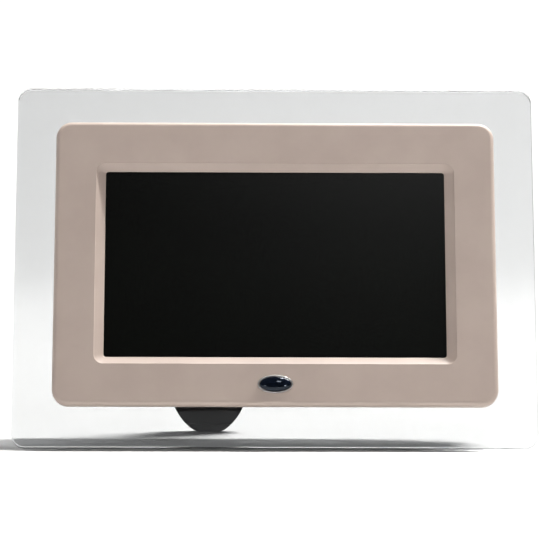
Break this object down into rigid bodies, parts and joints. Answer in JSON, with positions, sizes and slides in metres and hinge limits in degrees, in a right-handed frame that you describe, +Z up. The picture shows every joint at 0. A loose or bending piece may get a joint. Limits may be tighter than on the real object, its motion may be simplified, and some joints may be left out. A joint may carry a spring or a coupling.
{
  "type": "digital photo frame",
  "caption": "Free-standing 7-inch digital photo frame: pale bezel on a clear acrylic surround plate, black screen, oval receiver window and black swivel stand leg.",
  "frame": {"origin": "on the surface the frame stands on, under the middle of its bounding box", "axes": "+X to the right as seen from the front, +Y to the rear, +Z up; the screen faces -Y and leans back"},
  "size_m": [0.238, 0.075, 0.1627],
  "materials": {
    "clear_acrylic": "polished clear acrylic sheet, flame-polished edges",
    "bezel_shell": "moulded shell in a pale warm grey satin paint",
    "silver_trim": "bright satin",
    "dark_lens": "dark infrared-passing window, high gloss",
    "screen_glass": "black LCD glass, low sheen",
    "housing_plastic": "fine spark texture",
    "key_plastic": "satin",
    "black_rubber": "matt",
    "steel": "zinc plated",
    "circuit_board": "green solder mask",
    "chip_black": "matt moulded epoxy",
    "white_plastic": "moulded",
    "flex_film": "amber film",
    "copper_wire": "enamelled wire",
    "speaker_cone": "pressed paper"
  },
  "bodies": {
    "frame": {"clear_surround_plate": "clear_acrylic", "front_bezel": "bezel_shell", "receiver_lens_rim": "silver_trim", "receiver_lens": "dark_lens", "ir_receiver": "chip_black", "lcd_glass": "screen_glass", "lcd_metal_frame": "steel", "lcd_backlight": "white_plastic", "rear_housing": "housing_plastic", "housing_screw_1": "steel", "housing_screw_2": "steel", "housing_screw_3": "steel", "housing_screw_4": "steel", "main_board": "circuit_board", "board_screw_1": "steel", "board_screw_2": "steel", "board_screw_3": "steel", "board_screw_4": "steel", "processor_chip": "chip_black", "memory_chip_1": "chip_black", "memory_chip_2": "chip_black", "backlight_inductor": "copper_wire", "capacitor_1": "silver_trim", "capacitor_2": "silver_trim", "usb_socket": "steel", "mini_usb_socket": "steel", "dc_inlet": "housing_plastic", "dc_inlet_pin": "steel", "earphone_socket": "housing_plastic", "card_socket": "steel", "power_switch_body": "steel", "key_board": "circuit_board", "key_switch_1": "chip_black", "key_switch_2": "chip_black", "key_switch_3": "chip_black", "key_switch_4": "chip_black", "key_switch_5": "chip_black", "key_switch_6": "chip_black", "speaker_left": "speaker_cone", "speaker_right": "speaker_cone", "speaker_lead_left": "black_rubber", "speaker_lead_right": "black_rubber", "receiver_lead": "black_rubber", "lcd_flex_cable": "flex_film", "key_board_cable": "white_plastic"},
    "turntable": {"stand_turntable": "housing_plastic", "leg_hinge_pin": "steel", "turntable_retainer": "steel", "retainer_screw_1": "steel", "retainer_screw_2": "steel", "retainer_screw_3": "steel"},
    "leg": {"stand_leg": "housing_plastic", "leg_pad": "black_rubber"},
    "key_1": {"key_cap_1": "key_plastic"},
    "key_2": {"key_cap_2": "key_plastic"},
    "key_3": {"key_cap_3": "key_plastic"},
    "key_4": {"key_cap_4": "key_plastic"},
    "key_5": {"key_cap_5": "key_plastic"},
    "key_6": {"key_cap_6": "key_plastic"},
    "power_knob": {"power_switch_knob": "key_plastic"}
  },
  "joints": [
    {"name": "stand_swivel", "type": "hinge", "parent": "frame", "child": "turntable", "pos_m": [-0.0305, 0.01118, 0.07891], "axis": [0, 0.9553, -0.2957], "range_deg": [0, 90]},
    {"name": "leg_fold", "type": "hinge", "parent": "turntable", "child": "leg", "pos_m": [-0.0305, 0.02436, 0.09053], "axis": [-1, 0, 0], "range_deg": [0, 24]},
    {"name": "key_1_press", "type": "slide", "parent": "frame", "child": "key_1", "axis": [0, -0.9553, 0.2957], "range_m": [0, 0.0006], "stiffness_N_per_m": 500, "springref_m": -0.0006},
    {"name": "key_2_press", "type": "slide", "parent": "frame", "child": "key_2", "axis": [0, -0.9553, 0.2957], "range_m": [0, 0.0006], "stiffness_N_per_m": 500, "springref_m": -0.0006},
    {"name": "key_3_press", "type": "slide", "parent": "frame", "child": "key_3", "axis": [0, -0.9553, 0.2957], "range_m": [0, 0.0006], "stiffness_N_per_m": 500, "springref_m": -0.0006},
    {"name": "key_4_press", "type": "slide", "parent": "frame", "child": "key_4", "axis": [0, -0.9553, 0.2957], "range_m": [0, 0.0006], "stiffness_N_per_m": 500, "springref_m": -0.0006},
    {"name": "key_5_press", "type": "slide", "parent": "frame", "child": "key_5", "axis": [0, -0.9553, 0.2957], "range_m": [0, 0.0006], "stiffness_N_per_m": 500, "springref_m": -0.0006},
    {"name": "key_6_press", "type": "slide", "parent": "frame", "child": "key_6", "axis": [0, -0.9553, 0.2957], "range_m": [0, 0.0006], "stiffness_N_per_m": 500, "springref_m": -0.0006},
    {"name": "power_slide", "type": "slide", "parent": "frame", "child": "power_knob", "axis": [0, 0.2957, 0.9553], "range_m": [0, 0.0025]}
  ]
}
